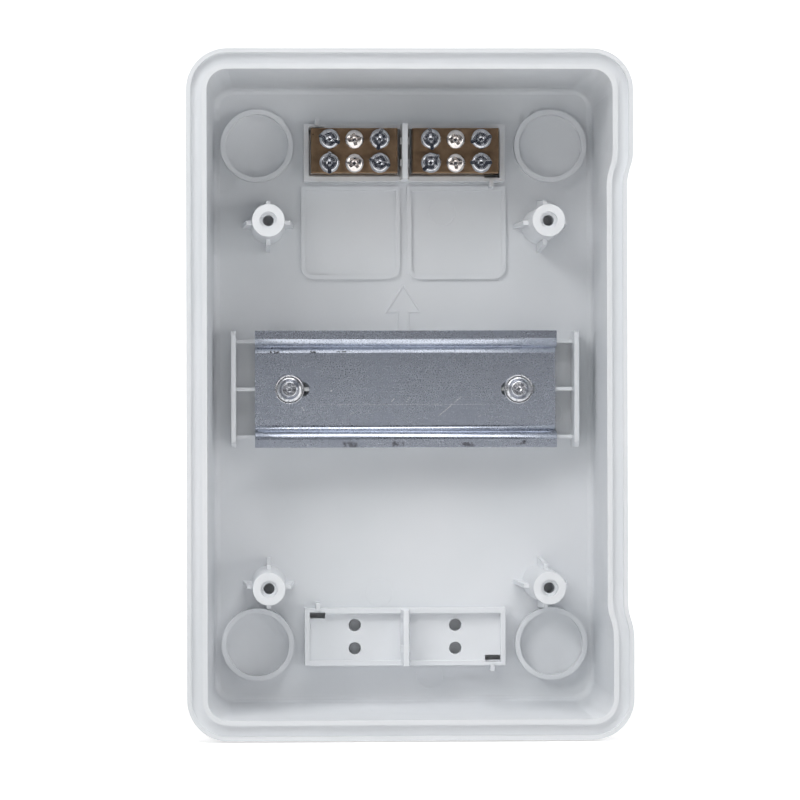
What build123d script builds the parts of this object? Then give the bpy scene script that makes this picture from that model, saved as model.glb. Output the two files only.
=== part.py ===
from build123d import *
import math
import os

# Open base of a sealed distribution box, in millimetres.
# Upright, +Z up, front towards -Y, origin at the centre of the wall face.
# Pieces are drawn lying on their back: x right, y up the box, z out of the wall.

os.makedirs("parts", exist_ok=True)

# Overall size
width = 129.6
height = 200.4
depth = 58.0

# Shell
floor_thickness = 2.5
wall = 2.4
wall_draft = 1.35
back_edge = 1.0
floor_fillet = 2.0
floor_fillet_steps = 3
cavity_corner = 6.0

# Rim: two lips with a sealing groove between them
outer_lip = 1.3
groove_width = 3.2
inner_lip = 1.5
groove_depth = 1.8
flange_depth = 6.5

# Shallow recess in the right side, which ends in two S-bends
recess = 1.8
recess_end_inset = 34.7
bend_length = 11.0

# Cover-screw bosses
boss_inset_x = 16.5
boss_inset_top = 42.0
boss_inset_bottom = 36.2
boss_diameter = 9.5
boss_draft = 0.6
boss_height = 44.4
boss_mouth_diameter = 5.0
boss_mouth_depth = 2.0
boss_pilot_diameter = 3.2
boss_pilot_depth = 12.0
gusset_thickness = 1.25
gusset_height = 28.0
gusset_reach_foot = 3.05
gusset_reach_top = 1.75

# Round rear-entry collars
collar_inset_x = 13.2
collar_inset_y = 17.7
collar_diameter = 21.9
collar_wall = 1.45
collar_height = 4.5

# Rounded-square rear-entry outlines
square_width = 29.95
square_height = 28.05
square_gap = 2.1
square_below_holder = 23.7
square_wall = 1.35
square_rise = 1.2
square_corner = 3.7

# Score lines cut in the back round each rear entry
score_width = 0.8
score_depth = 1.4

# Rail and its seat
rail_centre_y = 1.75
rail_shift_x = 0.2
rail_width = 35.0
rail_height = 7.5
rail_sheet = 1.0
rail_channel = 27.0
rail_bend = 1.6
rail_end_gap = 5.5
slot_end_inset = 11.2
slot_length = 10.4
slot_width = 4.5
rail_seat = 7.0
rib_spacing = 14.4
rib_thickness = 1.1
plate_inset = 5.4
plate_thickness = 1.4
plate_length = 34.8
plate_height = 14.5
plate_corner = 2.0
post_diameter = 7.6
post_outset = 0.5
post_shift_x = -0.15

# Rail screws
rail_screw_flange = 8.9
rail_screw_flange_thickness = 0.9
rail_screw_head = 5.0
rail_screw_head_height = 1.7
rail_screw_shank = 3.4
rail_screw_length = 6.6
rail_screw_recess = 3.8
rail_screw_turns = {-1: 4, 1: 57}

# Terminal holders
holder_inset_y = 20.1
holder_length = 60.4
holder_width = 17.2
holder_end_wall = 1.5
holder_side_wall = 1.5
holder_floor_top = 6.5
holder_floor = 1.5
holder_wall_rise = 2.3
divider_foot = 3.0
divider_top = 1.6
divider_height = 16.6
divider_end_inset = 0.25
hook_width = 2.1
hook_reach = 0.6
hook_height = 1.2
hook_drop = 3.0
hook_spacing = 6.6
window_length = 4.6
window_width = 1.95
window_notch = 0.5
holder_boss_diameter = 6.6
catch_width = 1.2
catch_thickness = 1.6
catch_overlap = 0.5
catch_inset_x = 4.0
catch_clearance = 0.1
catch_head = 0.9

# Brass bars
bar_thickness = 9.0
bar_outer_gap = 0.6
bar_inner_gap = 0.7
bar_upper_gap = 0.1
bar_lower_gap = 0.6
bar_edge = 0.35
clamp_spacing_x = 15.0
screw_spacing_y = 7.0
tunnel_diameter = 3.8
tunnel_height = 4.5

# Clamp screws, shown backed off so that the wire tunnels are free
clamp_head = 5.9
clamp_head_height = 1.8
clamp_shank = 4.0
clamp_back_off = 2.0
clamp_tip_gap = 0.1
clamp_slot_width = 0.9
clamp_slot_depth = 0.9

# Bar fixing screws
fixing_head = 5.5
fixing_head_height = 1.7
fixing_shank = 3.6
fixing_reach = 5.0

# Cross recesses and fits
cross_width = 1.0
cross_depth = 1.1
cross_size = 3.6
head_bevel = 0.5
thread_clearance = 0.05
tip_clearance = 1.5

# Turn of each clamp screw's slot, from level, as left when the box was packed
clamp_turns = {
    "left_bar": {"outer_top": -20, "outer_bottom": 90, "inner_top": 80, "inner_bottom": -17},
    "right_bar": {"inner_top": 97, "inner_bottom": 45, "outer_top": 16, "outer_bottom": 0},
}
fixing_turns = {"left_bar": {"top": 12, "bottom": 38}, "right_bar": {"top": 30, "bottom": 5}}

# Worked out from the sizes above
slope = math.tan(math.radians(wall_draft))
rim_width = outer_lip + groove_width + inner_lip
rim_half_x = width / 2 - rim_width
rim_half_y = height / 2 - rim_width
floor_half_x = rim_half_x - (depth - floor_thickness) * slope
floor_half_y = rim_half_y - (depth - floor_thickness) * slope
flange_overhang = rim_width - wall
recess_half = height / 2 - recess_end_inset
boss_x = floor_half_x - boss_inset_x
boss_top_y = floor_half_y - boss_inset_top
boss_bottom_y = boss_inset_bottom - floor_half_y
collar_x = floor_half_x - collar_inset_x
collar_y = floor_half_y - collar_inset_y
holder_centre_y = floor_half_y - holder_inset_y
square_centre_y = holder_centre_y - square_below_holder
plate_outer_x = floor_half_x - plate_inset
plate_inner_x = plate_outer_x - plate_thickness
rail_length = 2 * (plate_inner_x - rail_end_gap)
rail_base_z = floor_thickness + rail_seat
slot_spacing = rail_length - 2 * slot_end_inset
post_x = {side: post_shift_x + side * (slot_spacing / 2 + post_outset) for side in (-1, 1)}
holder_floor_z = floor_thickness + holder_floor_top
holder_wall_z = holder_floor_z + holder_wall_rise
compartment_length = holder_length / 2 - holder_end_wall - divider_foot / 2
compartment_width = holder_width - 2 * holder_side_wall
compartment_x = divider_foot / 2 + compartment_length / 2
bar_length = compartment_length - bar_outer_gap - bar_inner_gap
bar_x = compartment_x + (bar_inner_gap - bar_outer_gap) / 2
bar_width = compartment_width - bar_upper_gap - bar_lower_gap
bar_shift_y = (bar_lower_gap - bar_upper_gap) / 2
bar_top_z = holder_floor_z + bar_thickness
clamp_shank_length = bar_thickness + clamp_back_off - tunnel_height - tunnel_diameter / 2 - clamp_tip_gap


def stand(piece):
    """Stands a piece that was drawn on its back upright, with its front towards -Y."""
    return Rot(90, 0, 0) * piece


def outline(half_x, half_y, corner, inward):
    """Outline of the box at one depth: a rounded rectangle whose right side steps inward."""
    low, high = recess_half - bend_length / 2, recess_half + bend_length / 2
    stepped = half_x - inward
    lines = [
        Line((corner - half_x, -half_y), (half_x - corner, -half_y)),
        CenterArc((half_x - corner, corner - half_y), corner, -90, 90),
        Line((half_x, corner - half_y), (half_x, -high)),
        Bezier((half_x, -high), (half_x, -recess_half), (stepped, -recess_half), (stepped, -low)),
        Line((stepped, -low), (stepped, low)),
        Bezier((stepped, low), (stepped, recess_half), (half_x, recess_half), (half_x, high)),
        Line((half_x, high), (half_x, half_y - corner)),
        CenterArc((half_x - corner, half_y - corner), corner, 0, 90),
        Line((half_x - corner, half_y), (corner - half_x, half_y)),
        CenterArc((corner - half_x, half_y - corner), corner, 90, 90),
        Line((-half_x, half_y - corner), (-half_x, corner - half_y)),
        CenterArc((corner - half_x, corner - half_y), corner, 180, 90),
    ]
    return Face(Wire(lines))


def section(offset, z, inward, trim=0.0):
    """Section of the tapered wall, offset outwards from its inner face, at distance z from the wall face."""
    taper = (depth - z) * slope
    half_x = rim_half_x - taper + offset - trim
    half_y = rim_half_y - taper + offset - trim
    return Pos(0, 0, z) * outline(half_x, half_y, cavity_corner + offset - trim, inward)


def rim_section(inset, z):
    """Section of the flange, inset from its outer edge, at distance z from the wall face."""
    corner = cavity_corner + rim_width - inset
    return Pos(0, 0, z) * outline(width / 2 - inset, height / 2 - inset, corner, recess)


def rounded_rectangle(size_x, size_y, corner):
    """Rectangle whose two lower corners are round and whose upper ones are sharp."""
    face = Rectangle(size_x, size_y).face()
    lower = face.vertices().sort_by(Axis.Y)[:2]
    return face.fillet_2d(corner, lower)


def ring(diameter, thickness, length):
    """Round upright collar with its foot at z = 0."""
    outer = Cylinder(diameter / 2, length, align=(Align.CENTER, Align.CENTER, Align.MIN))
    inner = Cylinder(diameter / 2 - thickness, length, align=(Align.CENTER, Align.CENTER, Align.MIN))
    return outer - inner


def block(size_x, size_y, z_low, z_high):
    """Rectangular block, centred in x and y, between two heights."""
    solid = Box(size_x, size_y, z_high - z_low, align=(Align.CENTER, Align.CENTER, Align.MIN))
    return Pos(0, 0, z_low) * solid


def rod(diameter, z_low, z_high):
    """Round rod on the z axis, between two heights."""
    solid = Cylinder(diameter / 2, z_high - z_low, align=(Align.CENTER, Align.CENTER, Align.MIN))
    return Pos(0, 0, z_low) * solid


def hollow_sections():
    """Sections of the hollow from the floor to the rim, with the floor's edge rounded in steps."""
    levels = []
    for step in range(floor_fillet_steps + 1):
        angle = math.radians(90 * step / floor_fillet_steps)
        rise, trim = floor_fillet * (1 - math.cos(angle)), floor_fillet * (1 - math.sin(angle))
        levels.append(section(0, floor_thickness + rise, 0, trim=trim))
    return levels + [section(0, depth, recess)]


def shell():
    """Tapered box with its flange and sealing groove."""
    wall_start = section(wall, 0, 0, trim=back_edge)
    wall_foot = section(wall, back_edge, 0)
    wall_rim = section(wall, depth, recess)
    body = loft([wall_start, wall_foot], ruled=True) + loft([wall_foot, wall_rim], ruled=True)
    flange_z = depth - flange_depth
    flange_foot = rim_section(flange_overhang, flange_z - flange_overhang)
    flange_edge = rim_section(0, flange_z)
    body += loft([flange_foot, flange_edge], ruled=True) + extrude(flange_edge, flange_depth)
    levels = hollow_sections()
    for lower, upper in zip(levels, levels[1:]):
        body -= loft([lower, upper], ruled=True)
    groove_z = depth - groove_depth
    groove = extrude(rim_section(outer_lip, groove_z), groove_depth)
    groove -= extrude(rim_section(outer_lip + groove_width, groove_z), groove_depth)
    return body - groove


def cover_boss():
    """Tapered boss for a cover screw, with four gussets, standing on the floor."""
    foot_radius = boss_diameter / 2 + boss_height * math.tan(math.radians(boss_draft))
    boss = Cone(foot_radius, boss_diameter / 2, boss_height, align=(Align.CENTER, Align.CENTER, Align.MIN))
    foot = boss_diameter / 2 + gusset_reach_foot
    top = boss_diameter / 2 + gusset_reach_top
    profile = Polyline((-foot, 0), (foot, 0), (top, gusset_height), (-top, gusset_height), close=True)
    gusset = extrude(make_face(Plane.XZ * profile), gusset_thickness / 2, both=True)
    boss += gusset + Rot(0, 0, 90) * gusset
    boss -= rod(boss_pilot_diameter, boss_height - boss_mouth_depth - boss_pilot_depth, boss_height)
    boss -= rod(boss_mouth_diameter, boss_height - boss_mouth_depth, boss_height)
    return Pos(0, 0, floor_thickness) * boss


def square_outline():
    """Low raised outline of a rounded-square rear entry."""
    inner_x, inner_y = square_width - 2 * square_wall, square_height - 2 * square_wall
    face = rounded_rectangle(square_width, square_height, square_corner)
    face -= rounded_rectangle(inner_x, inner_y, square_corner - square_wall)
    return Pos(0, 0, floor_thickness) * extrude(face, square_rise)


def square_score():
    """Score line in the back, along the inside of a rounded-square outline."""
    outer_x, outer_y = square_width - 2 * square_wall, square_height - 2 * square_wall
    corner = square_corner - square_wall
    face = rounded_rectangle(outer_x, outer_y, corner)
    face -= rounded_rectangle(outer_x - 2 * score_width, outer_y - 2 * score_width, corner - score_width)
    return extrude(face, score_depth)


def rail_support():
    """End plates, ribs and screw posts that carry the rail."""
    foot = floor_thickness
    plate_centre = (plate_inner_x + plate_outer_x) / 2
    support = block(2 * plate_inner_x, rib_thickness, foot, rail_base_z)
    plate = block(plate_thickness, plate_length, foot, foot + plate_height)
    plate = fillet(plate.edges().filter_by(Axis.X).group_by(Axis.Z)[-1], plate_corner)
    for side in (-1, 1):
        support += Pos(0, side * rib_spacing, 0) * block(2 * plate_inner_x, rib_thickness, foot, rail_base_z)
        support += Pos(side * plate_centre, 0, 0) * plate
        support += Pos(post_x[side], 0, 0) * rod(post_diameter, foot, rail_base_z)
    return Pos(0, rail_centre_y, 0) * support


def rail_post_holes():
    """Pilot holes for the two rail screws."""
    hole_depth = rail_screw_length - rail_sheet + tip_clearance
    hole = rod(rail_screw_shank + 2 * thread_clearance, rail_base_z - hole_depth, rail_base_z)
    return [Pos(post_x[side], rail_centre_y, 0) * hole for side in (-1, 1)]


def holder_catch():
    """Catch beside a holder's lower right end: a post with a head that reaches over the wall."""
    inner = holder_width / 2 + catch_clearance
    head_z = holder_wall_z + catch_clearance
    post = Pos(0, -inner - catch_thickness / 2, 0) * block(
        catch_width, catch_thickness, floor_thickness, head_z + catch_head
    )
    reach = catch_overlap + catch_clearance
    head = Pos(0, reach / 2 - inner, 0) * block(catch_width, reach, head_z, head_z + catch_head)
    return Pos(holder_length / 2 - catch_inset_x, 0, 0) * (post + head)


def base_housing():
    """The moulded base with everything that belongs to it."""
    base = shell()
    boss = cover_boss()
    collar = Pos(0, 0, floor_thickness) * ring(collar_diameter, collar_wall, collar_height)
    collar_score = ring(collar_diameter - 2 * collar_wall, score_width, score_depth)
    for side in (-1, 1):
        base += Pos(side * boss_x, boss_top_y, 0) * boss
        base += Pos(side * boss_x, boss_bottom_y, 0) * boss
        square_x = side * (square_gap + square_width) / 2
        base += Pos(square_x, square_centre_y, 0) * square_outline()
        base -= Pos(square_x, square_centre_y, 0) * square_score()
        for end in (-1, 1):
            base += Pos(side * collar_x, end * collar_y, 0) * collar
            base -= Pos(side * collar_x, end * collar_y, 0) * collar_score
            base += Pos(0, end * holder_centre_y, 0) * Rot(0, 0, 90 - side * 90) * holder_catch()
    base += rail_support()
    for hole in rail_post_holes():
        base -= hole
    return base


def din_rail():
    """Top-hat rail, folded from sheet, with a slot near each end."""
    lip = (rail_width - rail_channel) / 2 + rail_sheet
    line = Polyline(
        (-rail_width / 2, rail_height - rail_sheet / 2),
        (-rail_width / 2 + lip - rail_sheet / 2, rail_height - rail_sheet / 2),
        (-rail_channel / 2 + rail_sheet / 2, rail_sheet / 2),
        (rail_channel / 2 - rail_sheet / 2, rail_sheet / 2),
        (rail_width / 2 - lip + rail_sheet / 2, rail_height - rail_sheet / 2),
        (rail_width / 2, rail_height - rail_sheet / 2),
    )
    bent = fillet(line.vertices()[1:-1], rail_bend + rail_sheet / 2)
    profile = Plane.YZ * trace(bent, rail_sheet)
    rail = extrude(profile, rail_length / 2, both=True)
    slot = extrude(SlotOverall(slot_length, slot_width), rail_sheet * 3, both=True)
    for side in (-1, 1):
        rail -= Pos(side * slot_spacing / 2, 0, 0) * slot
    return Pos(rail_shift_x, rail_centre_y, rail_base_z) * rail


def cross_recess(size, turn):
    """Cross recess below z = 0."""
    arm = block(size, cross_width, -cross_depth, 0)
    return Rot(0, 0, turn) * (arm + Rot(0, 0, 90) * arm)


def bevelled_head(diameter, thickness):
    """Screw head standing on z = 0, with its upper edge bevelled."""
    head = rod(diameter, 0, thickness)
    return chamfer(head.edges().group_by(Axis.Z)[-1], head_bevel)


def rail_screw(side):
    """Flanged screw that holds the rail to one post."""
    screw = rod(rail_screw_flange, 0, rail_screw_flange_thickness)
    screw += bevelled_head(rail_screw_head, rail_screw_flange_thickness + rail_screw_head_height)
    screw += rod(rail_screw_shank, -rail_screw_length, 0)
    top = rail_screw_flange_thickness + rail_screw_head_height
    screw -= Pos(0, 0, top) * cross_recess(rail_screw_recess, rail_screw_turns[side])
    return Pos(post_x[side], rail_centre_y, rail_base_z + rail_sheet) * screw


def divider():
    """Tapered divider with small hooks, standing on a holder's floor."""
    top_z = floor_thickness + divider_height
    hook_z = top_z - hook_drop
    foot, top = divider_foot / 2, divider_top / 2
    profile = Plane.XZ * Polyline(
        (-foot, holder_floor_z - holder_floor), (foot, holder_floor_z - holder_floor),
        (foot, holder_floor_z), (top, top_z), (-top, top_z), (-foot, holder_floor_z), close=True,
    )
    wall_length = holder_width - 2 * divider_end_inset
    body = extrude(make_face(profile), wall_length / 2, both=True)
    for end in (-1, 1):
        hooks = block(divider_top + 2 * hook_reach, hook_width, hook_z - hook_height, hook_z)
        body += Pos(0, end * hook_spacing / 2, 0) * hooks
    return body


def terminal_holder(end):
    """Moulded holder with two compartments, standing on the base's floor."""
    holder = block(holder_length, holder_width, floor_thickness, holder_wall_z)
    inner_x = holder_length - 2 * holder_end_wall
    holder -= block(inner_x, compartment_width, holder_floor_z, holder_wall_z)
    holder -= block(inner_x, compartment_width, floor_thickness, holder_floor_z - holder_floor)
    holder += divider()
    hole = rod(fixing_shank + 2 * thread_clearance, floor_thickness, holder_floor_z)
    boss = rod(holder_boss_diameter, floor_thickness, holder_floor_z - holder_floor)
    for side in (-1, 1):
        for row in (-1, 1):
            place = Pos(side * bar_x, row * screw_spacing_y / 2, 0)
            holder += place * boss
            holder -= place * hole
        window_x = side * (inner_x - window_length) / 2
        window_y = -side * (compartment_width / 2 + window_notch - window_width / 2)
        window = block(window_length, window_width, holder_floor_z - holder_floor, holder_wall_z)
        holder -= Pos(window_x, window_y, 0) * window
    return Pos(0, end * holder_centre_y, 0) * holder


def brass_bar(side):
    """Brass block with two wire tunnels, four tapped holes and two fixing holes."""
    bar = Pos(0, bar_shift_y, 0) * block(bar_length, bar_width, 0, bar_thickness)
    bar = chamfer(bar.edges().group_by(Axis.Z)[-1], bar_edge)
    clamp_hole = rod(clamp_shank + 2 * thread_clearance, tunnel_height, bar_thickness)
    fixing_hole = rod(fixing_shank + 2 * thread_clearance, 0, bar_thickness)
    tunnel = Pos(0, bar_shift_y, tunnel_height) * Rot(90, 0, 0) * Cylinder(tunnel_diameter / 2, bar_width)
    for column in (-1, 1):
        bar -= Pos(column * clamp_spacing_x / 2, 0, 0) * tunnel
    for row in (-1, 1):
        y = row * screw_spacing_y / 2
        bar -= Pos(0, y, 0) * fixing_hole
        for column in (-1, 1):
            bar -= Pos(column * clamp_spacing_x / 2, y, 0) * clamp_hole
    return Pos(side * bar_x, holder_centre_y, holder_floor_z) * bar


def clamp_screw(side, column, row, turn):
    """Wire clamp screw, backed off from its seat."""
    screw = bevelled_head(clamp_head, clamp_head_height) + rod(clamp_shank, -clamp_shank_length, 0)
    slot = Pos(0, 0, clamp_head_height) * block(clamp_head, clamp_slot_width, -clamp_slot_depth, 0)
    screw -= Rot(0, 0, turn) * slot
    screw -= Pos(0, 0, clamp_head_height) * cross_recess(cross_size, turn)
    x = side * bar_x + column * clamp_spacing_x / 2
    y = holder_centre_y + row * screw_spacing_y / 2
    return Pos(x, y, bar_top_z + clamp_back_off) * screw


def fixing_screw(side, row, turn):
    """Screw that holds a bar down to the holder."""
    screw = bevelled_head(fixing_head, fixing_head_height)
    screw += rod(fixing_shank, -bar_thickness - fixing_reach, 0)
    screw -= Pos(0, 0, fixing_head_height) * cross_recess(cross_size, turn)
    y = holder_centre_y + row * screw_spacing_y / 2
    return Pos(side * bar_x, y, bar_top_z) * screw


pieces = {
    "base_housing": base_housing(),
    "din_rail": din_rail(),
    "rail_screw_left": rail_screw(-1),
    "rail_screw_right": rail_screw(1),
    "upper_terminal_holder": terminal_holder(1),
    "lower_terminal_holder": terminal_holder(-1),
    "left_brass_bar": brass_bar(-1),
    "right_brass_bar": brass_bar(1),
}
rows = {"top": 1, "bottom": -1}
for bar, side in (("left_bar", -1), ("right_bar", 1)):
    for place, turn in clamp_turns[bar].items():
        position, row = place.split("_")
        column = side if position == "outer" else -side
        pieces[f"{bar}_clamp_screw_{place}"] = clamp_screw(side, column, rows[row], turn)
    for row, turn in fixing_turns[bar].items():
        pieces[f"{bar}_fixing_screw_{row}"] = fixing_screw(side, rows[row], turn)

for name, piece in pieces.items():
    export_step(stand(piece), f"parts/{name}.step")
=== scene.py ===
import math

import bmesh
import bpy
from bpy.props import FloatProperty, FloatVectorProperty, PointerProperty
from mathutils import Matrix, Quaternion, Vector


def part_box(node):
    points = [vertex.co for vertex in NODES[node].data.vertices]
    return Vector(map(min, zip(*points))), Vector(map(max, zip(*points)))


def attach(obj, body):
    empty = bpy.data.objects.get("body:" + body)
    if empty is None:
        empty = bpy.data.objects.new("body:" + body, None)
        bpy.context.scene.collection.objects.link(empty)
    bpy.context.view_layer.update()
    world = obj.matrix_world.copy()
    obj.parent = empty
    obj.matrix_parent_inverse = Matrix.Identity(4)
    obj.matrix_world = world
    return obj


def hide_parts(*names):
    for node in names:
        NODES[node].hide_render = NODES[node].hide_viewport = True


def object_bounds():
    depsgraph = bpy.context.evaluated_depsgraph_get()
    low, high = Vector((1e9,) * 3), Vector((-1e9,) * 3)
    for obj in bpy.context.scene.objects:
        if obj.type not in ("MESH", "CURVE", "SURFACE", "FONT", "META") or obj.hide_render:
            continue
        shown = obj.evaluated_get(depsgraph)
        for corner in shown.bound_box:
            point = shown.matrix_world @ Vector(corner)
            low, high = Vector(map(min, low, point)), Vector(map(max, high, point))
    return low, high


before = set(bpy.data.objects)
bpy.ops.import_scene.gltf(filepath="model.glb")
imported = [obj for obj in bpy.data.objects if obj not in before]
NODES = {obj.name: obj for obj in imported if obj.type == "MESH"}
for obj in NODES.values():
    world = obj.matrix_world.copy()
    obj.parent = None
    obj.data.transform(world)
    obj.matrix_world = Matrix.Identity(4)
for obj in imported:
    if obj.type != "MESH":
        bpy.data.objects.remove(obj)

cad_low, cad_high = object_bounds()

bl_info = {
    "name": "Distribution Box Dresser",
    "version": (1, 0, 0),
    "blender": (4, 5, 0),
    "location": "View3D > Sidebar > Distribution Box",
    "description": "Finishes the open base of a small distribution box: plastic, rail, brass bars and screws",
    "category": "Object",
}

MM = 0.001
HOUSING = "housing"
CLAMP_SCREWS = sorted(name for name in NODES if "clamp_screw" in name)
FIXING_SCREWS = sorted(name for name in NODES if "fixing_screw" in name)
RAIL_SCREWS = sorted(name for name in NODES if "rail_screw" in name)
BARS = ["left_brass_bar", "right_brass_bar"]
HOLDERS = ["upper_terminal_holder", "lower_terminal_holder"]
# Turn of each screw's recess from level, in degrees, as the screws were left when they were driven.
TURNS = {
    "left_bar_clamp_screw_outer_top": -20, "left_bar_clamp_screw_outer_bottom": 90,
    "left_bar_clamp_screw_inner_top": 80, "left_bar_clamp_screw_inner_bottom": -17,
    "right_bar_clamp_screw_inner_top": 97, "right_bar_clamp_screw_inner_bottom": 45,
    "right_bar_clamp_screw_outer_top": 16, "right_bar_clamp_screw_outer_bottom": 0,
    "left_bar_fixing_screw_top": 12, "left_bar_fixing_screw_bottom": 38,
    "right_bar_fixing_screw_top": 30, "right_bar_fixing_screw_bottom": 5,
    "rail_screw_left": 4, "rail_screw_right": 57,
}


def linear(code):
    """Linear RGB of an sRGB hex colour such as #E6E7EB."""
    channels = [int(code[i:i + 2], 16) / 255 for i in (1, 3, 5)]
    return tuple(c / 12.92 if c <= 0.04045 else ((c + 0.055) / 1.055) ** 2.4 for c in channels)


def rgba(colour):
    """A colour with full opacity, as node sockets take it."""
    return (*colour, 1.0)


def per(size_mm):
    """Texture scale that gives a pattern its real size in millimetres, on coordinates in metres."""
    return 1 / (size_mm * MM)


def add(tree, kind, inputs=None, **settings):
    """Adds a shader node with its settings; each input is a value, a socket or a node's first output.

    Map Range takes its value as input 0, its old range as inputs 1 and 2, and its new one as 3 and 4.
    """
    node = tree.nodes.new("ShaderNode" + kind)
    for name, value in settings.items():
        setattr(node, name, value)
    for key, value in (inputs or {}).items():
        if isinstance(value, bpy.types.Node):
            value = value.outputs[0]
        if isinstance(value, bpy.types.NodeSocket):
            tree.links.new(value, node.inputs[key])
        else:
            node.inputs[key].default_value = value
    return node


def new_material(name):
    """An empty material with its tree, its coordinates in metres and its shader."""
    material = bpy.data.materials.new(name)
    material.use_nodes = True
    tree = material.node_tree
    tree.nodes.clear()
    place = add(tree, "TexCoord").outputs["Object"]
    shader = add(tree, "BsdfPrincipled")
    add(tree, "OutputMaterial", {"Surface": shader})
    return material, tree, place, shader


def specks(tree, place, spacing_mm, size_mm, share):
    """1 in small round specks, about spacing_mm apart, in a share of the cells."""
    cells = add(tree, "TexVoronoi", {"Vector": place, "Scale": per(spacing_mm)})
    rim = size_mm / spacing_mm
    dots = add(tree, "MapRange", {0: cells.outputs["Distance"], 1: rim, 2: 0.4 * rim, 3: 0.0, 4: 1.0})
    chance = add(tree, "SeparateColor", {0: cells.outputs["Color"]})
    kept = add(tree, "Math", {0: chance, 1: share}, operation="LESS_THAN")
    return add(tree, "Math", {0: dots, 1: kept}, operation="MULTIPLY")


def stroke(tree, place, x_mm, z_mm, turn, length_mm, width_mm, torn_mm):
    """1 along a torn stroke on a front face, by its middle, turn from level, size and coarseness of tears."""
    moved = add(tree, "VectorMath", {0: place, 1: (-x_mm * MM, 0, -z_mm * MM)}, operation="ADD")
    level = add(tree, "VectorRotate", {"Vector": moved, "Angle": math.radians(turn)}, rotation_type="Y_AXIS")
    parts = add(tree, "SeparateXYZ", {0: level})
    along = add(tree, "Math", {0: parts.outputs["X"]}, operation="ABSOLUTE")
    across = add(tree, "Math", {0: parts.outputs["Z"]}, operation="ABSOLUTE")
    half, thin = length_mm * MM / 2, width_mm * MM / 2
    ends = add(tree, "MapRange", {0: along, 1: half, 2: 0.7 * half, 3: 0.0, 4: 1.0})
    line = add(tree, "MapRange", {0: across, 1: thin, 2: 0.4 * thin, 3: 0.0, 4: 1.0})
    whole = add(tree, "Math", {0: ends, 1: line}, operation="MULTIPLY")
    tears = add(tree, "TexNoise", {"Vector": place, "Scale": per(torn_mm), "Detail": 3.0})
    kept = add(tree, "MapRange", {0: tears, 1: 0.4, 2: 0.52, 3: 0.0, 4: 1.0})
    return add(tree, "Math", {0: whole, 1: kept}, operation="MULTIPLY")


def moulded_polystyrene(name, colour, shade):
    """Polystyrene, injection moulded: an even light grey with a satin skin and hardly any grain."""
    material, tree, place, shader = new_material(name)
    cloud = add(tree, "TexNoise", {"Vector": place, "Scale": per(38), "Detail": 3.0})
    mottle = add(tree, "MapRange", {0: cloud, 1: 0.35, 2: 0.65, 3: 0.0, 4: 1.0})
    base = add(tree, "MixRGB", {0: mottle, 1: rgba(colour), 2: rgba(shade)})
    dust = add(tree, "Math", {0: specks(tree, place, 11, 0.3, 0.25), 1: 0.6}, operation="MULTIPLY")
    dusty = add(tree, "MixRGB", {0: dust, 1: base, 2: rgba(linear("#84868A"))})
    tree.links.new(dusty.outputs[0], shader.inputs["Base Color"])
    skin = add(tree, "TexNoise", {"Vector": place, "Scale": per(6), "Detail": 4.0})
    satin = add(tree, "MapRange", {0: skin, 1: 0.3, 2: 0.7, 3: 0.36, 4: 0.47})
    tree.links.new(satin.outputs[0], shader.inputs["Roughness"])
    # The spark-eroded grain is about 0.1 mm wide, drawn 0.45 mm wide so that it shows at all.
    grain = add(tree, "TexNoise", {"Vector": place, "Scale": per(0.45), "Detail": 2.0})
    relief = add(tree, "Bump", {"Height": grain, "Distance": 0.004 * MM, "Strength": 0.5})
    tree.links.new(relief.outputs[0], shader.inputs["Normal"])
    shader.inputs["IOR"].default_value = 1.59
    return material


# Marks on the rail in millimetres: place across and up, turn in degrees, length and width.
RUBS = [(0.1, -2.9, 0, 57, 0.3)]
SCRATCHES = [
    (13.6, -3.5, 40, 9.8, 0.32), (-3.6, -1.6, 50, 1.8, 0.35), (1.0, -1.4, 55, 2.2, 0.35),
    (-30.6, -4.2, -60, 1.5, 0.35), (-22.2, 1.3, 0, 0.7, 0.6), (22.4, -6.5, 30, 1.5, 0.3),
    (-16.0, -5.6, 20, 1.5, 0.3),
]
CHIPS = [(-39.4, 12.9, 0, 3.8, 1.0), (-27.3, 12.9, 0, 2.9, 0.9), (-18.4, 13.0, 0, 5.0, 0.45)]
SMUDGES = [
    (-16.6, -14.9, 0, 5.0, 2.4), (-2.2, -14.7, 0, 4.0, 2.2),
    (18.9, -14.7, 0, 4.5, 2.2), (34.7, -14.3, 0, 3.5, 2.0),
]


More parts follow.
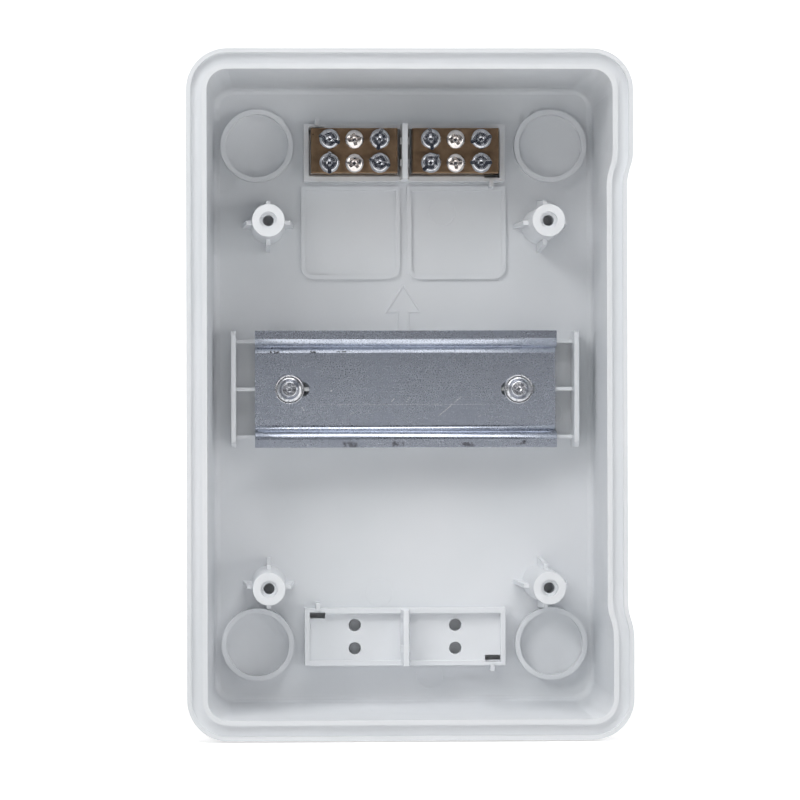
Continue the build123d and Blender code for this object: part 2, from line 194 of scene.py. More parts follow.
def zinc_plated_strip(name, colour, shade):
    """Cold-rolled steel strip, zinc plated: dull blue-grey, streaked lengthwise, chipped and scratched."""
    material, tree, place, shader = new_material(name)
    along = add(tree, "Mapping", {"Vector": place, "Scale": (0.06, 1, 1)})
    streak = add(tree, "TexNoise", {"Vector": along, "Scale": per(0.5), "Detail": 4.0})
    patch = add(tree, "Mapping", {"Vector": place, "Scale": (0.5, 1, 1)})
    cloud = add(tree, "TexNoise", {"Vector": patch, "Scale": per(12), "Detail": 5.0})
    # The plating's crystals are under 0.2 mm; they are drawn 0.5 mm wide to show as a fine salt-and-pepper.
    salt = add(tree, "TexNoise", {"Vector": place, "Scale": per(0.5), "Detail": 3.0})
    rolled = add(tree, "MapRange", {0: streak, 1: 0.3, 2: 0.7, 3: 0.2, 4: 0.8})
    dull = add(tree, "MapRange", {0: cloud, 1: 0.3, 2: 0.7, 3: 0.0, 4: 1.0})
    pepper = add(tree, "MapRange", {0: salt, 1: 0.3, 2: 0.7, 3: 0.0, 4: 1.0})
    mixed = add(tree, "Math", {0: rolled, 1: dull}, operation="ADD")
    mixed = add(tree, "Math", {0: mixed, 1: pepper}, operation="ADD")
    # The three add up to 1.5 in the middle; what lies more than 0.7 off counts as fully dull or fully bright.
    mottle = add(tree, "MapRange", {0: mixed, 1: 0.8, 2: 2.2, 3: 0.0, 4: 1.0})
    base = add(tree, "MixRGB", {0: mottle, 1: rgba(shade), 2: rgba(colour)})
    base = add(tree, "MixRGB", {0: specks(tree, place, 3.2, 0.28, 0.15), 1: base, 2: rgba(linear("#8A8C93"))})
    base = add(tree, "MixRGB", {0: specks(tree, place, 3.7, 0.3, 0.2), 1: base, 2: rgba(linear("#F4F5F7"))})
    # Each kind of mark: its places, how coarsely it tears in millimetres, and its colour.
    wear = [
        (SMUDGES, 1.6, "#80828A"),
        (RUBS, 0.4, "#DEE1E7"),
        (SCRATCHES, 0.5, "#FAFAFA"),
        (CHIPS, 0.6, "#2E2E30"),
    ]
    for marks, torn_mm, tint in wear:
        for mark in marks:
            torn = stroke(tree, place, *mark, torn_mm)
            base = add(tree, "MixRGB", {0: torn, 1: base, 2: rgba(linear(tint))})
    tree.links.new(base.outputs[0], shader.inputs["Base Color"])
    worn = add(tree, "MapRange", {0: mixed, 1: 0.8, 2: 2.2, 3: 0.31, 4: 0.24})
    tree.links.new(worn.outputs[0], shader.inputs["Roughness"])
    relief = add(tree, "Bump", {"Height": mixed, "Distance": 0.003 * MM, "Strength": 0.5})
    tree.links.new(relief.outputs[0], shader.inputs["Normal"])
    shader.inputs["Metallic"].default_value = 1.0
    return material


def drawn_brass(name, colour, shade):
    """Drawn brass bar, sawn and left to darken: brown, with fine draw lines and a dull gleam."""
    material, tree, place, shader = new_material(name)
    along = add(tree, "Mapping", {"Vector": place, "Scale": (0.05, 1, 1)})
    lines = add(tree, "TexNoise", {"Vector": along, "Scale": per(0.35), "Detail": 3.0})
    cloud = add(tree, "TexNoise", {"Vector": place, "Scale": per(2.5), "Detail": 6.0})
    tarnish = add(tree, "MapRange", {0: cloud, 1: 0.3, 2: 0.7, 3: 0.0, 4: 1.0})
    base = add(tree, "MixRGB", {0: tarnish, 1: rgba(colour), 2: rgba(shade)})
    spots = add(tree, "MixRGB", {0: specks(tree, place, 3.5, 0.3, 0.25), 1: base, 2: rgba(linear("#3A2A1C"))})
    tree.links.new(spots.outputs[0], shader.inputs["Base Color"])
    gleam = add(tree, "MapRange", {0: lines, 1: 0.3, 2: 0.7, 3: 0.3, 4: 0.44})
    tree.links.new(gleam.outputs[0], shader.inputs["Roughness"])
    relief = add(tree, "Bump", {"Height": lines, "Distance": 0.006 * MM, "Strength": 0.5})
    tree.links.new(relief.outputs[0], shader.inputs["Normal"])
    shader.inputs["Metallic"].default_value = 1.0
    return material


def plated_screw_steel(name, colour, shade, smooth, rough):
    """Cold-headed steel, plated: hard highlights over faint forming marks, duller where plating is thin."""
    material, tree, place, shader = new_material(name)
    cloud = add(tree, "TexNoise", {"Vector": place, "Scale": per(1.2), "Detail": 4.0})
    thin = add(tree, "MapRange", {0: cloud, 1: 0.35, 2: 0.65, 3: 0.0, 4: 1.0})
    base = add(tree, "MixRGB", {0: thin, 1: rgba(colour), 2: rgba(shade)})
    tree.links.new(base.outputs[0], shader.inputs["Base Color"])
    gloss = add(tree, "MapRange", {0: cloud, 1: 0.3, 2: 0.7, 3: smooth, 4: rough})
    tree.links.new(gloss.outputs[0], shader.inputs["Roughness"])
    dents = add(tree, "TexNoise", {"Vector": place, "Scale": per(0.5), "Detail": 3.0})
    relief = add(tree, "Bump", {"Height": dents, "Distance": 0.02 * MM, "Strength": 1.0})
    tree.links.new(relief.outputs[0], shader.inputs["Normal"])
    shader.inputs["Metallic"].default_value = 1.0
    return material


def round_edges(piece, radius, sharpness):
    """Rounds edges that turn by more than sharpness in degrees; the shortest edges hold the radius back."""
    bevel = piece.modifiers.new("round_edges", "BEVEL")
    bevel.width = radius
    bevel.segments = 2
    bevel.limit_method = "ANGLE"
    bevel.angle_limit = math.radians(sharpness)
    bevel.use_clamp_overlap = True
    bevel.harden_normals = True


def dress(node_name, material, radius):
    """Gives a CAD node its material and rounds its sharp edges, as a mould or a tumbler leaves them."""
    node = NODES[node_name]
    node.data.materials.clear()
    node.data.materials.append(material)
    weld = node.modifiers.new("weld", "WELD")
    weld.merge_threshold = 0.001 * MM
    flat = node.modifiers.new("flat_faces", "DECIMATE")
    flat.decimate_type = "DISSOLVE"
    flat.angle_limit = math.radians(0.3)
    round_edges(node, radius, 32)


def mesh_piece(name, mesh, material, body=HOUSING):
    """Links a finished mesh as a piece that rides on a body."""
    piece = bpy.data.objects.new(name, mesh)
    bpy.context.scene.collection.objects.link(piece)
    mesh.materials.append(material)
    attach(piece, body)
    return piece


def mesh_from(bm, name):
    """Turns an edit mesh into a mesh datablock with outward normals."""
    bmesh.ops.recalc_face_normals(bm, faces=bm.faces)
    mesh = bpy.data.meshes.new(name)
    bm.to_mesh(mesh)
    bm.free()
    return mesh


def bridge(bm, rings, closed=False):
    """Joins each ring of vertices to the next one, and the last to the first if closed."""
    pairs = list(zip(rings, rings[1:]))
    if closed:
        pairs.append((rings[-1], rings[0]))
    for ring, following in pairs:
        count = len(ring)
        for i in range(count):
            bm.faces.new((ring[i], ring[(i + 1) % count], following[(i + 1) % count], following[i]))


def inset(outline, distance):
    """A closed outline moved inwards by a distance, corner by corner."""
    count = len(outline)
    area = sum(
        outline[i][0] * outline[(i + 1) % count][1] - outline[(i + 1) % count][0] * outline[i][1]
        for i in range(count)
    )
    side = 1 if area > 0 else -1
    moved = []
    for i in range(count):
        before, here, after = (Vector(outline[(i + k) % count]) for k in (-1, 0, 1))
        along_in, along_out = (here - before).normalized(), (after - here).normalized()
        normal_in = Vector((-along_in.y, along_in.x)) * side
        normal_out = Vector((-along_out.y, along_out.x)) * side
        middle = (normal_in + normal_out).normalized()
        moved.append(tuple(here + middle * (distance / middle.dot(normal_in))))
    return moved


class BoxFinish(bpy.types.PropertyGroup):
    """Colours of the box's materials."""

    housing: FloatVectorProperty(
        name="Housing", description="Light grey of the moulded base", subtype="COLOR", size=3,
        default=linear("#EAECEF"))
    housing_shade: FloatVectorProperty(
        name="Housing shade", description="Slightly darker clouds in the base", subtype="COLOR", size=3,
        default=linear("#E5E8EB"))
    rail: FloatVectorProperty(
        name="Rail", description="Zinc plating of the rail", subtype="COLOR", size=3,
        default=linear("#C8CDD8"))
    rail_shade: FloatVectorProperty(
        name="Rail shade", description="Dull streaks in the plating", subtype="COLOR", size=3,
        default=linear("#AAB0BD"))
    brass: FloatVectorProperty(
        name="Brass", description="Darkened brass of the terminal bars", subtype="COLOR", size=3,
        default=linear("#9C8268"))
    brass_shade: FloatVectorProperty(
        name="Brass shade", description="Browner patches of the bars", subtype="COLOR", size=3,
        default=linear("#836C55"))
    nickel: FloatVectorProperty(
        name="Nickel", description="Bright plating of the clamp screws", subtype="COLOR", size=3,
        default=linear("#DDDDDF"))
    nickel_shade: FloatVectorProperty(
        name="Nickel shade", description="Duller plating of the clamp screws", subtype="COLOR", size=3,
        default=linear("#B9BBC1"))
    zinc: FloatVectorProperty(
        name="Zinc", description="Pale plating of the fixing screws", subtype="COLOR", size=3,
        default=linear("#E9E4E1"))
    zinc_shade: FloatVectorProperty(
        name="Zinc shade", description="Duller plating of the fixing screws", subtype="COLOR", size=3,
        default=linear("#D4CECA"))


class BoxMarks(bpy.types.PropertyGroup):
    """Sizes of the moulded marks on the floor of the base."""

    floor_y: FloatProperty(
        name="Floor", description="Depth of the inner floor", default=-2.5 * MM, unit="LENGTH")
    arrow_x: FloatProperty(
        name="Arrow place", description="Middle of the arrow", default=-0.1 * MM, unit="LENGTH")
    arrow_tip: FloatProperty(
        name="Arrow tip", description="Height of its tip", default=33.7 * MM, unit="LENGTH")
    arrow_head: FloatProperty(
        name="Head height", description="Length of its head", default=8.9 * MM, unit="LENGTH")
    arrow_half: FloatProperty(
        name="Head half width", description="Half the head's width", default=5.6 * MM, unit="LENGTH")
    shaft_half: FloatProperty(
        name="Shaft half width", description="Half the shaft's width", default=1.95 * MM, unit="LENGTH")
    shaft_foot: FloatProperty(
        name="Shaft foot", description="Height of its foot", default=12.0 * MM, unit="LENGTH")
    line_width: FloatProperty(
        name="Line width", description="Width of moulded lines", default=0.6 * MM, unit="LENGTH")
    line_rise: FloatProperty(
        name="Line rise", description="Height of moulded lines", default=0.35 * MM, unit="LENGTH")
    pin_radius: FloatProperty(
        name="Pin radius", description="Radius of ejector marks", default=4.1 * MM, unit="LENGTH")
    pin_rise: FloatProperty(
        name="Pin rise", description="Step of ejector marks", default=0.1 * MM, unit="LENGTH")
    sink: FloatProperty(
        name="Sink", description="How far marks reach into the floor", default=0.05 * MM, unit="LENGTH")


class BoxScrews(bpy.types.PropertyGroup):
    """Sizes of the screws' details."""

    cross_span: FloatProperty(
        name="Cross", description="Span of the cross recess", default=3.7 * MM, unit="LENGTH")
    cross_arm: FloatProperty(
        name="Cross arm", description="Width of its arms", default=0.95 * MM, unit="LENGTH")
    cross_depth: FloatProperty(name="Cross depth", description="Its depth", default=1.7 * MM, unit="LENGTH")
    slot_width: FloatProperty(name="Slot", description="Width of the slot", default=1.15 * MM, unit="LENGTH")
    slot_depth: FloatProperty(
        name="Slot depth", description="Depth of the slot", default=1.0 * MM, unit="LENGTH")
    clamp_pitch: FloatProperty(
        name="Clamp pitch", description="Machine thread", default=0.7 * MM, unit="LENGTH")
    tapping_pitch: FloatProperty(
        name="Tapping pitch", description="Coarse thread", default=1.2 * MM, unit="LENGTH")
    thread_depth: FloatProperty(
        name="Thread depth", description="Crest to root", default=0.3 * MM, unit="LENGTH")


class BoxView(bpy.types.PropertyGroup):
    """The camera, measured from the photograph's perspective, and the studio."""

    distance: FloatProperty(
        name="Distance", description="From the inner floor to the camera", default=1240 * MM, unit="LENGTH")
    camera_x: FloatProperty(name="Camera X", description="Camera across", default=-44.5 * MM, unit="LENGTH")
    camera_z: FloatProperty(name="Camera Z", description="Camera height", default=-3.65 * MM, unit="LENGTH")
    aim_x: FloatProperty(
        name="Aim X", description="Point in the picture's middle, across", default=-1.13 * MM, unit="LENGTH")
    aim_z: FloatProperty(
        name="Aim Z", description="Point in the picture's middle, height", default=-1.53 * MM, unit="LENGTH")
    lens: FloatProperty(
        name="Lens", description="Focal length in mm on a 36 mm sensor", default=184.4, min=1.0)
    roll: FloatProperty(
        name="Roll", description="Turn of the camera about its axis", default=math.radians(-0.13),
        unit="ROTATION")
    card: FloatProperty(
        name="Card", description="Brightness of the card behind the camera", default=0.05, min=0.0)


class BOX_OT_housing(bpy.types.Operator):
    """Finish the moulded base."""

    bl_idname = "box.housing"
    bl_label = "Base housing"

    def execute(self, context):
        finish = context.scene.box_finish
        material = moulded_polystyrene("Polystyrene, injection moulded", finish.housing, finish.housing_shade)
        dress("base_housing", material, 0.1 * MM)
        return {"FINISHED"}


class BOX_OT_arrow(bpy.types.Operator):
    """Raised outline of the arrow that shows which end is up."""

    bl_idname = "box.arrow"
    bl_label = "Direction arrow"

    def execute(self, context):
        marks = context.scene.box_marks
        base = marks.arrow_tip - marks.arrow_head
        half, shaft = marks.arrow_half, marks.shaft_half
        outer = [
            (0, marks.arrow_tip), (half, base), (shaft, base), (shaft, marks.shaft_foot),
            (-shaft, marks.shaft_foot), (-shaft, base), (-half, base),
        ]
        bm = bmesh.new()
        rings = []
        # The line's section: share of its width from the outside, and share of its height.
        for share, lift in ((0.0, 0.0), (0.22, 1.0), (0.78, 1.0), (1.0, 0.0)):
            y = marks.floor_y + marks.sink - lift * (marks.line_rise + marks.sink)
            points = inset(outer, share * marks.line_width)
            rings.append([bm.verts.new((marks.arrow_x + x, y, z)) for x, z in points])
        bridge(bm, rings, closed=True)
        finish = context.scene.box_finish
        material = moulded_polystyrene("Polystyrene, moulded arrow", finish.housing, finish.housing_shade)
        mesh_piece("direction_arrow", mesh_from(bm, "direction_arrow"), material)
        return {"FINISHED"}


# Middles of the ejector marks on the floor, in millimetres across and up.
EJECTOR_PINS = [(11.7, 55.3), (-7.6, -59.9), (7.6, -85.0), (44.0, -5.4)]


def pin_mark(bm, x, z, marks):
    """Adds one low round step on the floor, where an ejector pin pushed the moulding out."""
    steps, slope = 64, 0.12 * MM
    angles = [math.tau * i / steps for i in range(steps)]
    rings = []
    for radius, lift in ((marks.pin_radius, 0.0), (marks.pin_radius - slope, 1.0)):
        y = marks.floor_y + marks.sink - lift * (marks.pin_rise + marks.sink)
        rings.append([bm.verts.new((x + radius * math.cos(a), y, z + radius * math.sin(a))) for a in angles])
    bridge(bm, rings)
    bm.faces.new(rings[0][::-1])
    bm.faces.new(rings[1])


class BOX_OT_ejector_marks(bpy.types.Operator):
    """Faint round marks that the mould's ejector pins leave on the floor."""

    bl_idname = "box.ejector_marks"
    bl_label = "Ejector marks"

    def execute(self, context):
        marks = context.scene.box_marks
        bm = bmesh.new()
        for x, z in EJECTOR_PINS:
            pin_mark(bm, x * MM, z * MM, marks)
        finish = context.scene.box_finish
        material = moulded_polystyrene("Polystyrene, pin marks", finish.housing, finish.housing_shade)
        mesh_piece("ejector_marks", mesh_from(bm, "ejector_marks"), material)
        return {"FINISHED"}


class BOX_OT_rail(bpy.types.Operator):
    """Finish the top-hat rail."""

    bl_idname = "box.rail"
    bl_label = "Top-hat rail"

    def execute(self, context):
        finish = context.scene.box_finish
        material = zinc_plated_strip("Zinc-plated steel, cold rolled", finish.rail, finish.rail_shade)
        dress("din_rail", material, 0.1 * MM)
        return {"FINISHED"}


class BOX_OT_holders(bpy.types.Operator):
    """Finish the terminal holders."""

    bl_idname = "box.holders"
    bl_label = "Terminal holders"

    def execute(self, context):
        finish = context.scene.box_finish
        material = moulded_polystyrene("Polystyrene, moulded holder", finish.housing, finish.housing_shade)
        for name in HOLDERS:
            dress(name, material, 0.15 * MM)
        return {"FINISHED"}


class BOX_OT_bars(bpy.types.Operator):
    """Finish the brass bars."""

    bl_idname = "box.bars"
    bl_label = "Brass bars"

    def execute(self, context):
        finish = context.scene.box_finish
        material = drawn_brass("Brass, drawn and darkened", finish.brass, finish.brass_shade)
        for name in BARS:
            dress(name, material, 0.1 * MM)
        return {"FINISHED"}


# Profiles as radius and height in millimetres from the seat, from the rim's foot up to the crown.
PAN_HEAD = [
    (2.7, 0.0), (2.95, 0.08), (3.05, 0.25), (3.05, 0.65), (2.98, 1.0), (2.82, 1.3), (2.58, 1.57),
    (2.35, 1.73), (2.18, 1.78), (2.08, 1.76), (2.0, 1.62), (1.9, 1.52), (0.5, 1.5),
]
FIXING_HEAD = [
    (2.65, 0.0), (2.82, 0.05), (2.9, 0.2), (2.9, 0.6), (2.8, 0.92), (2.5, 1.22), (2.05, 1.46), (1.5, 1.6),
    (1.0, 1.68), (0.5, 1.7),
]
RAIL_HEAD = [
    (4.25, 0.0), (4.4, 0.05), (4.45, 0.15), (4.45, 0.4), (4.36, 0.58), (4.2, 0.62), (4.05, 0.56), (3.6, 0.6),
    (3.15, 0.74), (2.88, 0.98), (2.74, 1.4), (2.62, 1.9), (2.46, 2.3), (2.24, 2.52), (2.06, 2.58),
    (1.96, 2.5), (1.9, 2.36), (0.5, 2.34),
]
# Heights of the CAD screws' heads, and radii of their shanks.
PAN_HEIGHT, FIXING_HEIGHT, RAIL_HEIGHT = 1.8 * MM, 1.7 * MM, 2.6 * MM
CLAMP_SHANK, FIXING_SHANK, RAIL_SHANK = 2.0 * MM, 1.8 * MM, 1.7 * MM
# Heights of the cross recesses' mouths above the seats.
PAN_MOUTH, FIXING_MOUTH, RAIL_MOUTH = 1.5 * MM, 1.65 * MM, 2.36 * MM
# The slot's ends push the rim of a clamp screw out: by how much and from which radius on, in millimetres,
# and how sharply, as a power of the cosine that gives a lug about 17 degrees wide.
LUG, LUG_FROM, LUG_POWER = 0.3, 2.65, 60
RINGS_PER_TURN = 6


def turned_screw(profile, shank, length, pitch, thread_depth, lug=0.0):
    """Edit mesh of a screw about the z axis: a head with this profile and lugs, over a threaded shank."""
    around = 48
    bm = bmesh.new()
    angles = [math.tau * i / around for i in range(around)]

    def ring(radius_at, height):
        points = [(radius_at(a) * math.cos(a), radius_at(a) * math.sin(a), height) for a in angles]
        return [bm.verts.new(point) for point in points]

    rings = []
    for r, z in reversed(profile):
        reach = lug if r > LUG_FROM else 0.0
        rings.append(ring(lambda a, r=r, reach=reach: (r + reach * math.cos(a) ** LUG_POWER) * MM, z * MM))
    steps = round(length / pitch * RINGS_PER_TURN)
    for k in range(steps + 1):
        height = -length * k / steps
        # The thread fades out towards the head and the tip.
        fade = min(1.0, k / 4, (steps - k) / 5)

        def thread(a, h=height, f=fade):
            phase = (h / pitch - a / math.tau) % 1.0
            return shank - f * thread_depth * abs(2 * phase - 1)

        rings.append(ring(thread, height))
    bridge(bm, rings)
    bm.faces.new(rings[0])
    bm.faces.new(rings[-1][::-1])
    return bm


def cross_tool(screws, top):
    """Edit mesh of a cross driver's tip that points down, for cutting the recess."""
    bm = bmesh.new()
    depth = screws.cross_depth
    rings = []
    # Share of the span and height, from above the recess's mouth down to its foot.
    for share, height in ((1.12, 0.3 * MM), (1.0, 0.0), (0.62, -0.75 * depth), (0.3, -depth)):
        span, arm = share * screws.cross_span / 2, (0.45 + 0.55 * share) * screws.cross_arm / 2
        corner = [(span, -arm), (span + 0.12 * arm, 0.0), (span, arm), (1.25 * arm, 1.25 * arm)]
        points = []
        for quarter in range(4):
            turn = Matrix.Rotation(quarter * math.pi / 2, 2)
            points += [turn @ Vector(point) for point in corner]
        rings.append([bm.verts.new((p.x, p.y, top + height)) for p in points])
    bridge(bm, rings)
    bm.faces.new(rings[0])
    bm.faces.new(rings[-1][::-1])
    return bm


def slot_tool(screws, top):
    """Edit mesh of a blade longer than the head is wide, which dips in the middle, for cutting the slot."""
    bm = bmesh.new()
    reach, middle, sag = 4 * MM, 1.6 * MM, 0.15 * MM
    half, roof = screws.slot_width / 2, top + 1 * MM
    rows = []
    for x in (-reach, -middle, middle, reach):
        low = top - screws.slot_depth - (sag if abs(x) < reach else 0.0)
        section = ((-half, low), (half, low), (half, roof), (-half, roof))
        rows.append([bm.verts.new((x, y, z)) for y, z in section])
    bridge(bm, rows)
    bm.faces.new(rows[0][::-1])
    bm.faces.new(rows[-1])
    return bm


def cut(bm, tools, name):
    """Mesh of an edit mesh after each tool is cut out of it."""
    body = bpy.data.objects.new(name, mesh_from(bm, name))
    helpers = [body]
    bpy.context.scene.collection.objects.link(body)
    for tool in tools:
        helper = bpy.data.objects.new("tool", mesh_from(tool, "tool"))
        bpy.context.scene.collection.objects.link(helper)
        helpers.append(helper)
        boolean = body.modifiers.new("cut", "BOOLEAN")
        boolean.operation = "DIFFERENCE"
        boolean.solver = "EXACT"
        boolean.object = helper
    bpy.context.view_layer.update()
    evaluated = body.evaluated_get(bpy.context.evaluated_depsgraph_get())
    mesh = bpy.data.meshes.new_from_object(evaluated)
    for helper in helpers:
        data = helper.data
        bpy.data.objects.remove(helper)
        bpy.data.meshes.remove(data)
    return mesh


def shank_length(name, head_height):
    """Length of a CAD screw from its head's seat to its tip."""
    low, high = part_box(name)
    return Vector(high).y - Vector(low).y - head_height


def place_screws(names, screw, material, head_height, body_of):
    """Puts a turned copy of a screw in place of each CAD screw."""
    for name in names:
        low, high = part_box(name)
        middle = (Vector(low) + Vector(high)) / 2
        seat = Vector((middle.x, Vector(low).y + head_height, middle.z))
        stand = Matrix.Translation(seat) @ Matrix.Rotation(math.pi / 2, 4, "X")
        mesh = screw.copy()
        mesh.transform(stand @ Matrix.Rotation(math.radians(TURNS[name]), 4, "Z"))
        for face in mesh.polygons:
            face.use_smooth = True
        piece = mesh_piece(f"{name}_detail", mesh, material, body_of(name))
        round_edges(piece, 0.05 * MM, 40)
        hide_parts(name)
    bpy.data.meshes.remove(screw)


class BOX_OT_clamp_screws(bpy.types.Operator):
    """Wire clamp screws with domed heads, a slot and a cross, each free to travel in its bar."""

    bl_idname = "box.clamp_screws"
    bl_label = "Clamp screws"

    def execute(self, context):
        screws = context.scene.box_screws
        finish = context.scene.box_finish
        length = shank_length(CLAMP_SCREWS[0], PAN_HEIGHT)
        blank = turned_screw(PAN_HEAD, CLAMP_SHANK, length, screws.clamp_pitch, screws.thread_depth, LUG)
        tools = [slot_tool(screws, PAN_HEIGHT), cross_tool(screws, PAN_MOUTH)]
        material = plated_screw_steel("Steel, nickel plated", finish.nickel, finish.nickel_shade, 0.12, 0.24)
        screw = cut(blank, tools, "clamp_screw")
        place_screws(CLAMP_SCREWS, screw, material, PAN_HEIGHT, lambda name: name)
        return {"FINISHED"}


class BOX_OT_fixing_screws(bpy.types.Operator):
    """Screws with pale domed heads that hold the bars down."""

    bl_idname = "box.fixing_screws"
    bl_label = "Fixing screws"

    def execute(self, context):
        screws = context.scene.box_screws
        finish = context.scene.box_finish
        length = shank_length(FIXING_SCREWS[0], FIXING_HEIGHT)
        blank = turned_screw(FIXING_HEAD, FIXING_SHANK, length, screws.tapping_pitch, screws.thread_depth)
        tools = [cross_tool(screws, FIXING_MOUTH)]
        material = plated_screw_steel(
            "Steel, zinc plated and passivated", finish.zinc, finish.zinc_shade, 0.16, 0.26)
        screw = cut(blank, tools, "fixing_screw")
        place_screws(FIXING_SCREWS, screw, material, FIXING_HEIGHT, lambda name: HOUSING)
        return {"FINISHED"}


class BOX_OT_rail_screws(bpy.types.Operator):
    """Screws with washer heads that hold the rail down."""

    bl_idname = "box.rail_screws"
    bl_label = "Rail screws"

    def execute(self, context):
        screws = context.scene.box_screws
        finish = context.scene.box_finish
        length = shank_length(RAIL_SCREWS[0], RAIL_HEIGHT)
        blank = turned_screw(RAIL_HEAD, RAIL_SHANK, length, screws.tapping_pitch, screws.thread_depth)
        tools = [cross_tool(screws, RAIL_MOUTH)]
        material = plated_screw_steel("Steel, zinc plated", finish.nickel, finish.nickel_shade, 0.2, 0.3)
        screw = cut(blank, tools, "rail_screw")
        place_screws(RAIL_SCREWS, screw, material, RAIL_HEIGHT, lambda name: HOUSING)
        return {"FINISHED"}


def direct_view(tree):
    """1 for rays that look at the background directly, in a mirror or through glass."""
    rays = add(tree, "LightPath").outputs
    seen = add(tree, "Math", {0: rays["Is Camera Ray"], 1: rays["Is Glossy Ray"]}, operation="MAXIMUM")
    return add(tree, "Math", {0: seen, 1: rays["Is Transmission Ray"]}, operation="MAXIMUM")


def lamp(name, place, target, size, power, glossy):
    """A soft square lamp that points at a target; a lamp out of gloss leaves no highlight in metal."""
    light = bpy.data.lights.new(name, "AREA")
    light.shape = "SQUARE"
    light.size = size
    light.energy = power
    holder = bpy.data.objects.new(name, light)
    bpy.context.scene.collection.objects.link(holder)
    holder.location = place
    holder.rotation_mode = "QUATERNION"
    holder.rotation_quaternion = (Vector(target) - Vector(place)).to_track_quat("-Z", "Y")
    holder.visible_glossy = glossy


# Each lamp: name, place from the object's centre and side length in metres, watts, whether gloss shows it.
LAMPS = [
    ("key_lamp", (-0.68, -0.88, 0.62), 0.5, 4.2, True),
    ("top_lamp", (0.0, -0.64, 1.12), 1.0, 11.4, True),
    ("side_lamp", (1.04, -0.78, 0.0), 0.5, 2.5, True),
    ("fill_lamp", (-0.05, -0.9, -0.12), 0.5, 1.25, False),
    ("back_lamp", (0.65, 0.9, 0.6), 0.6, 3.0, True),
]


def studio_sheet(material):
    """White paper sweep: a floor that curves up into the backdrop."""
    low = cad_low.z - 0.5 * MM
    front, bend, radius, top, half_width, steps = -3.0, 0.7, 0.7, 3.5, 4.0, 16
    profile = [(front, low), (bend, low)]
    for step in range(1, steps + 1):
        angle = math.pi / 2 * step / steps
        profile.append((bend + radius * math.sin(angle), low + radius * (1 - math.cos(angle))))
    profile.append((bend + radius, top))
    bm = bmesh.new()
    rows = [[bm.verts.new((x, y, z)) for y, z in profile] for x in (-half_width, half_width)]
    for i in range(len(profile) - 1):
        bm.faces.new((rows[0][i], rows[1][i], rows[1][i + 1], rows[0][i + 1]))
    mesh = mesh_from(bm, "paper_sweep")
    for face in mesh.polygons:
        face.use_smooth = True
    mesh.materials.append(material)
    sheet = bpy.data.objects.new("paper_sweep", mesh)
    bpy.context.scene.collection.objects.link(sheet)


def white_paper():
    """Studio paper, matt coated: reads as pure white to the eye and still takes a shadow."""
    material, tree, place, shader = new_material("Paper, matt white")
    fibre = add(tree, "TexNoise", {"Vector": place, "Scale": per(400)})
    tone = add(tree, "MapRange", {0: fibre, 1: 0.3, 2: 0.7, 3: 0.0, 4: 1.0})
    base = add(tree, "MixRGB", {0: tone, 1: rgba(linear("#F4F4F4")), 2: rgba(linear("#F2F2F2"))})
    tree.links.new(base.outputs[0], shader.inputs["Base Color"])
    shader.inputs["Roughness"].default_value = 0.9
    shader.inputs["Emission Color"].default_value = (1, 1, 1, 1)
    # The upright part stands farther from the lamps, so it glows more than the floor does.
    height = add(tree, "SeparateXYZ", {0: place})
    lift = add(tree, "MapRange", {0: height.outputs["Z"], 1: -0.1, 2: -0.04, 3: 0.62, 4: 0.8})
    glow = add(tree, "Math", {0: direct_view(tree), 1: lift}, operation="MULTIPLY")
    tree.links.new(glow.outputs[0], shader.inputs["Emission Strength"])
    return material


def grey_card(brightness):
    """A big card behind the camera, which only bare metal and gloss see, so that flat metal doesn't glare."""
    material = bpy.data.materials.new("Card, grey")
    material.use_nodes = True
    tree = material.node_tree
    tree.nodes.clear()
    glow = add(tree, "Emission", {"Color": rgba(linear("#D2DEFF")), "Strength": brightness})
    add(tree, "OutputMaterial", {"Surface": glow})
    mesh = bpy.data.meshes.new("grey_card")
    half, y = 3.0, -1.6
    corners = [(-half, y, -half), (half, y, -half), (half, y, half), (-half, y, half)]
    mesh.from_pydata(corners, [], [(0, 1, 2, 3)])
    mesh.materials.append(material)
    card = bpy.data.objects.new("grey_card", mesh)
    bpy.context.scene.collection.objects.link(card)
    card.visible_camera = False
    card.visible_diffuse = False
    card.visible_shadow = False


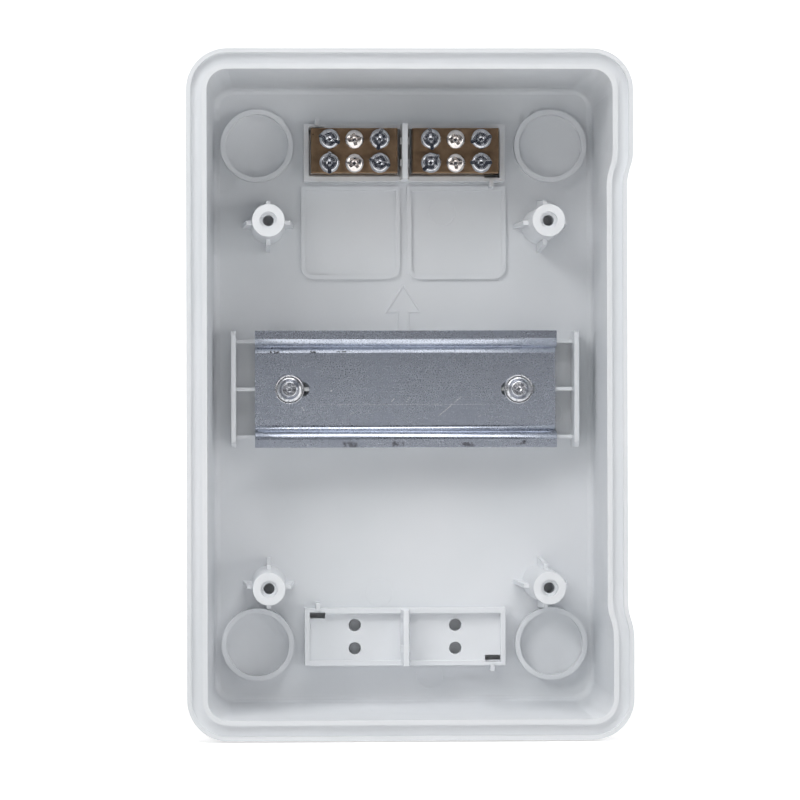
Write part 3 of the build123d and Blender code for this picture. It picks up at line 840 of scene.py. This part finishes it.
class BOX_OT_stage(bpy.types.Operator):
    """Paper sweep, card, lamps, world and camera."""

    bl_idname = "box.stage"
    bl_label = "Stage"

    def execute(self, context):
        scene = context.scene
        view = scene.box_view
        studio_sheet(white_paper())
        grey_card(view.card)
        world = bpy.data.worlds.new("studio")
        scene.world = world
        world.use_nodes = True
        tree = world.node_tree
        tree.nodes.clear()
        white = add(tree, "Background", {"Color": (1, 1, 1, 1), "Strength": direct_view(tree)})
        add(tree, "OutputWorld", {"Surface": white})
        centre = (cad_low + cad_high) / 2
        for name, offset, size, power, glossy in LAMPS:
            lamp(name, centre + Vector(offset), centre, size, power, glossy)
        camera = bpy.data.objects.new("camera", bpy.data.cameras.new("camera"))
        scene.collection.objects.link(camera)
        scene.camera = camera
        camera.data.sensor_fit = "HORIZONTAL"
        camera.data.sensor_width = 36.0
        camera.data.lens = view.lens
        camera.data.clip_start = 0.05
        camera.data.clip_end = 20.0
        floor_y = scene.box_marks.floor_y
        camera.location = (view.camera_x, floor_y - view.distance, view.camera_z)
        aim = Vector((view.aim_x, floor_y, view.aim_z)) - camera.location
        camera.rotation_mode = "QUATERNION"
        camera.rotation_quaternion = aim.to_track_quat("-Z", "Y") @ Quaternion((0, 0, 1), view.roll)
        scene.view_settings.view_transform = "Standard"
        return {"FINISHED"}


class BOX_PT_panel(bpy.types.Panel):
    """Lists the sizes, the colours and the steps that finish the box."""

    bl_idname = "BOX_PT_panel"
    bl_label = "Distribution Box"
    bl_space_type = "VIEW_3D"
    bl_region_type = "UI"
    bl_category = "Distribution Box"

    def draw(self, context):
        column = self.layout.column()
        for group, kind in GROUPS.items():
            for name in kind.__annotations__:
                column.prop(getattr(context.scene, group), name)
        for operator in OPERATORS:
            column.operator(operator.bl_idname)


OPERATORS = [
    BOX_OT_stage, BOX_OT_housing, BOX_OT_arrow, BOX_OT_ejector_marks, BOX_OT_rail, BOX_OT_holders,
    BOX_OT_bars, BOX_OT_clamp_screws, BOX_OT_fixing_screws, BOX_OT_rail_screws,
]
GROUPS = {"box_finish": BoxFinish, "box_marks": BoxMarks, "box_screws": BoxScrews, "box_view": BoxView}


def register():
    for group in GROUPS.values():
        bpy.utils.register_class(group)
    for name, group in GROUPS.items():
        setattr(bpy.types.Scene, name, PointerProperty(type=group))
    for cls in OPERATORS + [BOX_PT_panel]:
        bpy.utils.register_class(cls)


def unregister():
    for cls in reversed(OPERATORS + [BOX_PT_panel]):
        bpy.utils.unregister_class(cls)
    for name in GROUPS:
        delattr(bpy.types.Scene, name)
    for group in reversed(list(GROUPS.values())):
        bpy.utils.unregister_class(group)


def main():
    register()
    for operator in OPERATORS:
        family, name = operator.bl_idname.split(".")
        getattr(getattr(bpy.ops, family), name)()


if __name__ == "__main__":
    main()
